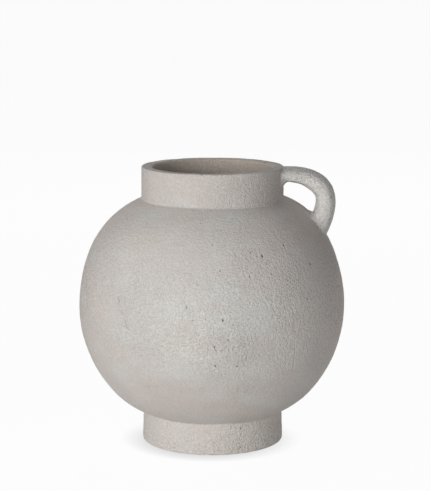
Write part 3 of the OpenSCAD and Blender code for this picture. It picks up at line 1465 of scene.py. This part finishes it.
@dataclass
class EarHandle(SubAssembly):
    """Strap handle from the collar to the shoulder, with luting clay wiped round both ends."""

    width: float = 0.030
    # Extra width at the collar, and the share of the length over which it fades
    root_flare: float = 0.008
    root_share: float = 0.35
    # Thickness at the collar and at the shoulder
    top_t: float = 0.0138
    low_t: float = 0.0208
    # How square the section is, how much less so outside, where that changes and how its corners are softened
    squareness: float = 0.5
    outer_roundness: float = 0.7
    outer_edge: float = 0.25
    corner_softness: float = 0.5
    corner_passes: int = 6
    # Fullness inside the bend, where along the handle it is greatest, and how far it reaches
    full_t: float = 0.0014
    full_share: float = 0.4
    full_reach: float = 0.28
    # Both ends as heights under the rim, and how far and which way the curve leaves them
    drop: float = 0.0065
    out: float = 0.0500
    land: float = 0.0557
    up: float = 0.022
    lean: float = 65.0
    # How far the ends run on into the wall
    bury: float = 0.007
    sides: int = 72
    spacing: float = 0.001
    guide_parts: int = 64
    # How deep luting clay lies under the handle's skin and in the wall
    luting_under: float = 0.00015
    luting_bury: float = 0.006
    # Height of the fillets at both ends, and the share of it by which spread clay is lifted off the wall
    top_luting: float = 0.006
    foot_luting: float = 0.0064
    off_wall_share: float = 0.85
    # How squarely a side has to face a spared direction to be wiped off, from not at all to fully
    wiped_off: Pair = (0.1, 0.85)

    @property
    def path(self) -> list[Vector]:
        """Four points of the cubic curve that the handle follows.

        Returns:
            The points as radius and height.
        """
        start = Vector((self.shape.collar_rad, self.shape.rim_h - self.drop))
        place = self.shape.on_outside(QUARTER_TURN, self.shape.rim_h - self.land)
        end = Vector((place.x, place.z))
        return [start, start + Vector((self.out, 0.0)), end + self.up * toward(self.lean), end]

    def guide(self) -> Piece:
        """Draws the curve that the handle is bent along, run on into the wall at both ends.

        Returns:
            The curve.
        """
        start, first, second, end = (Vector((p.x, 0.0, p.y)) for p in self.path)
        before = start - self.bury * (first - start).normalized()
        after = end + self.bury * (end - second).normalized()
        bpy.ops.object.select_all(action="DESELECT")
        bpy.ops.curve.primitive_bezier_curve_add(location=(0.0, 0.0, 0.0))
        guide = bpy.context.object
        spline = guide.data.splines[0]
        spline.bezier_points.add(2)
        spline.resolution_u = self.guide_parts
        third = 1.0 / 3.0
        knots = (
            (before, before, before.lerp(start, third)),
            (start.lerp(before, third), start, first),
            (second, end, end.lerp(after, third)),
            (after.lerp(end, third), after, after),
        )
        for point, (left, middle, right) in zip(spline.bezier_points, knots):
            point.handle_left_type = point.handle_right_type = "FREE"
            point.handle_left, point.co, point.handle_right = left, middle, right
        return guide

    def thickness(self, share: float) -> float:
        """Gives the thickness at a share of the handle's length, without the fullness of the bend."""
        return self.top_t + (self.low_t - self.top_t) * min(max(share, 0.0), 1.0)

    def breadth(self, share: float) -> float:
        """Gives the width at a share of the handle's length, more at the collar."""
        return self.width + self.root_flare * float(1.0 - smooth_step(0.0, self.root_share, share))

    def fullness(self, share: float) -> float:
        """Gives how much the inside of the bend is fuller at a share of the handle's length."""
        return self.full_t * float(1.0 - smooth_step(0.0, self.full_reach, abs(share - self.full_share)))

    def bar(self, name: str, first: float, last: float, length: float, grow: float) -> Piece:
        """Extrudes a straight tapering bar along +X, ring by ring.

        Args:
            name: Name of the piece.
            first: Where along the handle it begins.
            last: Where along the handle it ends.
            length: Length of the whole handle, buried ends included.
            grow: How much it stands proud of the handle.

        Returns:
            The bar, still straight.
        """
        rings = math.ceil((last - first) / self.spacing)
        places = [first + (last - first) * ring / rings for ring in range(rings + 1)]
        shares = [(along - self.bury) / (length - 2.0 * self.bury) for along in places]
        fuller = [self.fullness(share) for share in shares]
        thick = [self.thickness(share) + full + 2.0 * grow for share, full in zip(shares, fuller)]
        broad = [self.breadth(share) + 2.0 * grow for share in shares]
        bpy.ops.object.select_all(action="DESELECT")
        bpy.ops.mesh.primitive_circle_add(
            vertices=self.sides, radius=0.5, fill_type="NGON", rotation=(0.0, math.pi / 2.0, 0.0)
        )
        piece = bpy.context.object
        piece.name = piece.data.name = name
        bpy.ops.object.transform_apply(location=True, rotation=True, scale=True)
        outer = smooth_step(-self.outer_edge, self.outer_edge, places_of(piece)[:, 2])
        flattening = piece.modifiers.new("flatten", "CAST")
        flattening.cast_type, flattening.use_x, flattening.factor = "CUBOID", False, self.squareness
        flattening.vertex_group = weigh(piece, "flat", 1.0 - self.outer_roundness * outer)
        bpy.ops.object.modifier_apply(modifier=flattening.name)
        bpy.ops.object.mode_set(mode="EDIT")
        bpy.ops.mesh.select_all(action="SELECT")
        bpy.ops.mesh.vertices_smooth(factor=self.corner_softness, repeat=self.corner_passes)
        bpy.ops.transform.resize(value=(1.0, broad[0], thick[0]))
        bpy.ops.transform.translate(value=(first, 0.0, -fuller[0] / 2.0))
        for ring in range(1, rings + 1):
            step = (places[ring] - places[ring - 1], 0.0, (fuller[ring - 1] - fuller[ring]) / 2.0)
            bpy.ops.mesh.extrude_region_move(TRANSFORM_OT_translate={"value": step})
            taper = (1.0, broad[ring] / broad[ring - 1], thick[ring] / thick[ring - 1])
            middle = (places[ring], 0.0, -fuller[ring] / 2.0)
            bpy.ops.transform.resize(value=taper, center_override=middle)
        close_up()
        return piece

    def bend(self, piece: Piece, guide: Piece) -> None:
        """Bends a straight bar along the handle's curve.

        Args:
            piece: The bar.
            guide: The curve.
        """
        choose(piece)
        bending = piece.modifiers.new("bend", "CURVE")
        bending.object = guide
        bending.deform_axis = "POS_X"
        bpy.ops.object.modifier_apply(modifier=bending.name)

    def wipe(
        self, piece: Piece, off_wall: np.ndarray, reach: float, wall: Vector, spared: list[Vector]
    ) -> None:
        """Spreads a sleeve of luting clay into a hollow fillet along the wall.

        Args:
            piece: The sleeve.
            off_wall: How far each of its points is from the wall.
            reach: Height of the fillet.
            wall: Normal of the wall.
            spared: Directions of the sides where the clay is wiped off flush.
        """
        normals = normals_of(piece)
        near = np.clip(1.0 - off_wall / reach, 0.0, 1.0)
        facing = np.max([normals @ np.array(way) for way in spared], axis=0)
        spared_share = smooth_step(*self.wiped_off, facing)
        spread = near**2 * (1.0 - spared_share)
        into_wall = np.clip(-(normals @ np.array(wall)), 0.0, 1.0)
        outwards = weigh(piece, "spread", spread)
        off = weigh(piece, "off_wall", spread * into_wall)
        shift(piece, direction="NORMAL", mid_level=0.0, strength=reach, vertex_group=outwards)
        for axis, part in zip("XYZ", wall):
            if part:
                lift = reach * part * self.off_wall_share
                shift(piece, direction=axis, mid_level=0.0, strength=lift, vertex_group=off)

    def off_collar(self, piece: Piece) -> np.ndarray:
        """Gives how far a piece's points are outside the collar."""
        places = places_of(piece)
        return np.hypot(places[:, 0], places[:, 1]) - self.shape.collar_rad

    def off_shoulder(self, piece: Piece) -> np.ndarray:
        """Gives how far a piece's points are outside the shoulder.

        Args:
            piece: The piece.

        Returns:
            One distance for each point.
        """
        places, arc = places_of(piece), self.shape.shoulder
        rad = np.hypot(places[:, 0], places[:, 1])
        return np.hypot(rad - arc.centre.x, places[:, 2] - arc.centre.y) - arc.radius

    def build(self, finish: Finish, luting: Finish) -> None:
        """Models and dresses the handle and the clay round its ends.

        Args:
            finish: Finish of the handle.
            luting: Finish of the clay round its ends.
        """
        guide = self.guide()
        length = guide.data.splines[0].calc_length()
        strap = self.bar("ear_handle", 0.0, length, length, 0.0)
        top_ends = (self.bury - self.luting_bury, self.bury + self.top_luting + self.spacing)
        top = self.bar("handle_top_luting", *top_ends, length, -self.luting_under)
        foot_reach = self.foot_luting + self.low_t / 2.0
        foot_ends = (length - self.bury - foot_reach, length - self.spacing)
        foot = self.bar("handle_foot_luting", *foot_ends, length, -self.luting_under)
        for piece in (strap, top, foot):
            self.bend(piece, guide)
        bpy.data.objects.remove(guide)
        shoulder = (self.path[-1] - self.shape.shoulder.centre).normalized()
        shoulder_normal = Vector((shoulder.x, 0.0, shoulder.y))
        self.wipe(top, self.off_collar(top), self.top_luting, wall=OUT, spared=[UP, FRONT])
        self.wipe(foot, self.off_shoulder(foot), self.foot_luting, wall=shoulder_normal, spared=[OUT, FRONT])
        self.hand.swell(foot, np.clip(1.0 - self.off_shoulder(foot) / self.foot_luting, 0.0, 1.0))
        for piece, node, slot, look in (
            (strap, "handle", Slot.HANDLE, finish),
            (top, "handle_top_pad", Slot.LUTING, luting),
            (foot, "handle_foot_pad", Slot.LUTING, luting),
        ):
            self.hand.work(piece)
            self.fit(piece, node, slot, look)


# Studio


def from_vase(turned: float, elevation: float) -> Vector:
    """Gives the direction from the vase to something around it.

    Args:
        turned: Angle from the front towards the handle, in degrees.
        elevation: Angle above level, in degrees.

    Returns:
        The direction.
    """
    angle, raised = math.radians(turned), math.radians(elevation)
    level = math.cos(raised)
    return Vector((math.sin(angle) * level, -math.cos(angle) * level, math.sin(raised)))


def put_up(data: bpy.types.ID, place: Vector, angles: Sequence[float]) -> Piece:
    """Puts a lamp or a camera up.

    Args:
        data: The lamp or the camera.
        place: Where it stands.
        angles: How it is turned about X, Y and Z.

    Returns:
        The object that holds it.
    """
    holder = bpy.data.objects.new(data.name, data)
    bpy.context.scene.collection.objects.link(holder)
    holder.location = place
    holder.rotation_euler = angles
    return holder


@dataclass(frozen=True)
class SoftBox:
    """A large studio lamp that is aimed at the middle of the vase."""

    name: str
    turned: float
    elevation: float
    power: float
    width: float
    height: float
    distance: float = 2.2

    def place(self, aim: Vector) -> None:
        """Puts the lamp up.

        Args:
            aim: What it shines at.
        """
        way = from_vase(self.turned, self.elevation)
        lamp = bpy.data.lights.new(self.name, "AREA")
        lamp.shape = "RECTANGLE"
        lamp.size, lamp.size_y = self.width, self.height
        lamp.energy = self.power
        put_up(lamp, aim + self.distance * way, way.to_track_quat("Z", "Y").to_euler())


@dataclass(frozen=True)
class Viewpoint:
    """Where the camera stands. Pixels are those of an image of 430 by 491."""

    aim: Vector
    turned: float = 4.0
    elevation: float = 11.5
    distance: float = 1.637
    focal_px: float = 1728.0
    image_px: tuple[int, int] = (430, 491)
    aim_px: Pair = (211.7, 302.75)
    sensor: float = 36.0

    def place(self) -> None:
        """Puts the camera up and makes it the scene's own."""
        right_px = self.aim_px[0] - self.image_px[0] / 2.0
        down_px = self.aim_px[1] - self.image_px[1] / 2.0
        pitch = -math.radians(self.elevation) + math.atan(down_px / self.focal_px)
        yaw = math.radians(self.turned) + math.atan(right_px / self.focal_px)
        lens = bpy.data.cameras.new("camera")
        lens.sensor_width = self.sensor
        lens.lens = self.focal_px * self.sensor / max(self.image_px)
        place = self.aim + self.distance * from_vase(self.turned, self.elevation)
        bpy.context.scene.camera = put_up(lens, place, (math.pi / 2.0 + pitch, 0.0, yaw))


@dataclass(frozen=True)
class Studio:
    """Pale floor, even light all round and soft lamps."""

    aim: Vector
    floor_size: float = 80.0
    # Grey and glow of the floor as it lights the vase, then as the camera sees it
    floor_grey: float = 0.8
    floor_glow: float = 0.085
    floor_seen: float = 0.05
    floor_white: float = 0.957
    # Shadow where the foot stands: its reach, how dark it is and which way it leans
    contact_reach: float = 0.022
    contact_shade: float = 0.41
    contact_lean: Triple = (0.2, 0.7, 0.69)
    sky: float = 0.1
    lamps: tuple[SoftBox, ...] = (
        SoftBox("key", turned=-27.5, elevation=8.0, power=29.5, width=1.0, height=0.7),
        SoftBox("high", turned=-55.0, elevation=55.0, power=6.4, width=1.4, height=1.4),
        SoftBox("fill", turned=45.0, elevation=8.0, power=5.2, width=1.0, height=0.7),
        SoftBox("edge", turned=110.0, elevation=8.0, power=2.0, width=1.0, height=0.7),
        SoftBox("back", turned=180.0, elevation=30.0, power=8.5, width=1.0, height=1.0),
    )

    def seen_directly(self, graph: Graph) -> Link:
        """Gives 1 where the camera sees a surface, also in a mirror or through glass.

        Args:
            graph: Tree of the surface's material.

        Returns:
            1 or 0.
        """
        path = graph.add("ShaderNodeLightPath").outputs
        seen = graph.math("MAXIMUM", path["Is Camera Ray"], path["Is Glossy Ray"])
        return graph.math("MAXIMUM", seen, path["Is Transmission Ray"])

    def floor(self) -> None:
        """Lays the floor, a light table that looks white, shows soft shadows and is clear from below."""
        bpy.ops.object.select_all(action="DESELECT")
        bpy.ops.mesh.primitive_plane_add(size=self.floor_size, location=(0.0, 0.0, 0.0))
        floor = bpy.context.object
        floor.name = "studio_floor"
        paper = bpy.data.materials.new("white paper")
        paper.use_nodes = True
        graph = Graph(paper.node_tree)
        seen = self.seen_directly(graph)
        grey = graph.span(seen, (0.0, 1.0), (self.floor_grey, self.floor_seen))
        lean = graph.add("ShaderNodeCombineXYZ", dict(enumerate(self.contact_lean))).outputs[0]
        around = {"Distance": self.contact_reach, "Normal": lean}
        open_sky = graph.add("ShaderNodeAmbientOcclusion", around).outputs["AO"]
        shaded = graph.span(open_sky, (0.0, 1.0), (1.0 - self.contact_shade, 1.0))
        glow = graph.span(seen, (0.0, 1.0), (self.floor_glow, self.floor_white))
        glow = graph.math("MULTIPLY", glow, shaded)
        matt = graph.add("ShaderNodeBsdfDiffuse", {"Color": grey})
        shine = graph.add("ShaderNodeEmission", {"Strength": glow})
        both = graph.add("ShaderNodeAddShader", {0: matt.outputs[0], 1: shine.outputs[0]})
        clear = graph.add("ShaderNodeBsdfTransparent")
        under = graph.math("MULTIPLY", graph.add("ShaderNodeNewGeometry").outputs["Backfacing"], seen)
        top = graph.add("ShaderNodeMixShader", {0: under, 1: both.outputs[0], 2: clear.outputs[0]})
        graph.add("ShaderNodeOutputMaterial", {"Surface": top.outputs[0]})
        floor.data.materials.append(paper)

    def light(self) -> None:
        """Sets the light from all round, which looks white behind the vase, and the lamps."""
        world = bpy.data.worlds.new("studio")
        world.use_nodes = True
        graph = Graph(world.node_tree)
        seen = self.seen_directly(graph)
        strength = graph.math("MULTIPLY_ADD", seen, 1.0 - self.sky, self.sky)
        sky = graph.add("ShaderNodeBackground", {"Color": opaque(WHITE), "Strength": strength})
        graph.add("ShaderNodeOutputWorld", {"Surface": sky.outputs[0]})
        bpy.context.scene.world = world
        for lamp in self.lamps:
            lamp.place(self.aim)

    def set_up(self) -> None:
        """Makes the floor, the light and the camera, with colours shown as they are."""
        bpy.context.scene.view_settings.view_transform = "Standard"
        self.floor()
        self.light()
        Viewpoint(self.aim).place()


def main() -> None:
    """Builds the vase piece by piece and sets the studio up around it."""
    shape = WallShape.from_frame()
    hand = HandWork(shape)
    sandy = ClayFinish("sandy clay").material()
    # Collar clay is a little darker: partly its own tone, partly painted shade on the collar
    collar = ClayFinish("collar clay", paler=0.958, least=0.7).material()
    # Foot clay is paler: partly its own tone, partly painted bounce light on the foot
    foot = ClayFinish("foot clay", paler=1.08, middle=0.0, reach=0.036, least=0.55).material()
    luting = ClayFinish("luting clay", least=0.64).material()
    pale = (0.600, 0.578, 0.553)
    clean = {"clay": pale, "warm": pale, "tint_patches": (), "lines_height": 0.0, "least": 0.9}
    strap = ClayFinish("handle clay", paler=1.125, **clean).material()
    wiped = ClayFinish("wiped clay", paler=1.09, **clean).material()
    RoundWall(shape, hand).build(sandy, PitField(shape))
    Neck(shape, hand).build(collar, luting)
    Foot(shape, hand).build(foot, luting)
    EarHandle(shape, hand).build(strap, wiped)
    Studio(VASE_MIDDLE).set_up()


if __name__ == "__main__":
    logging.basicConfig(level=logging.INFO, format="%(name)s: %(message)s")
    main()
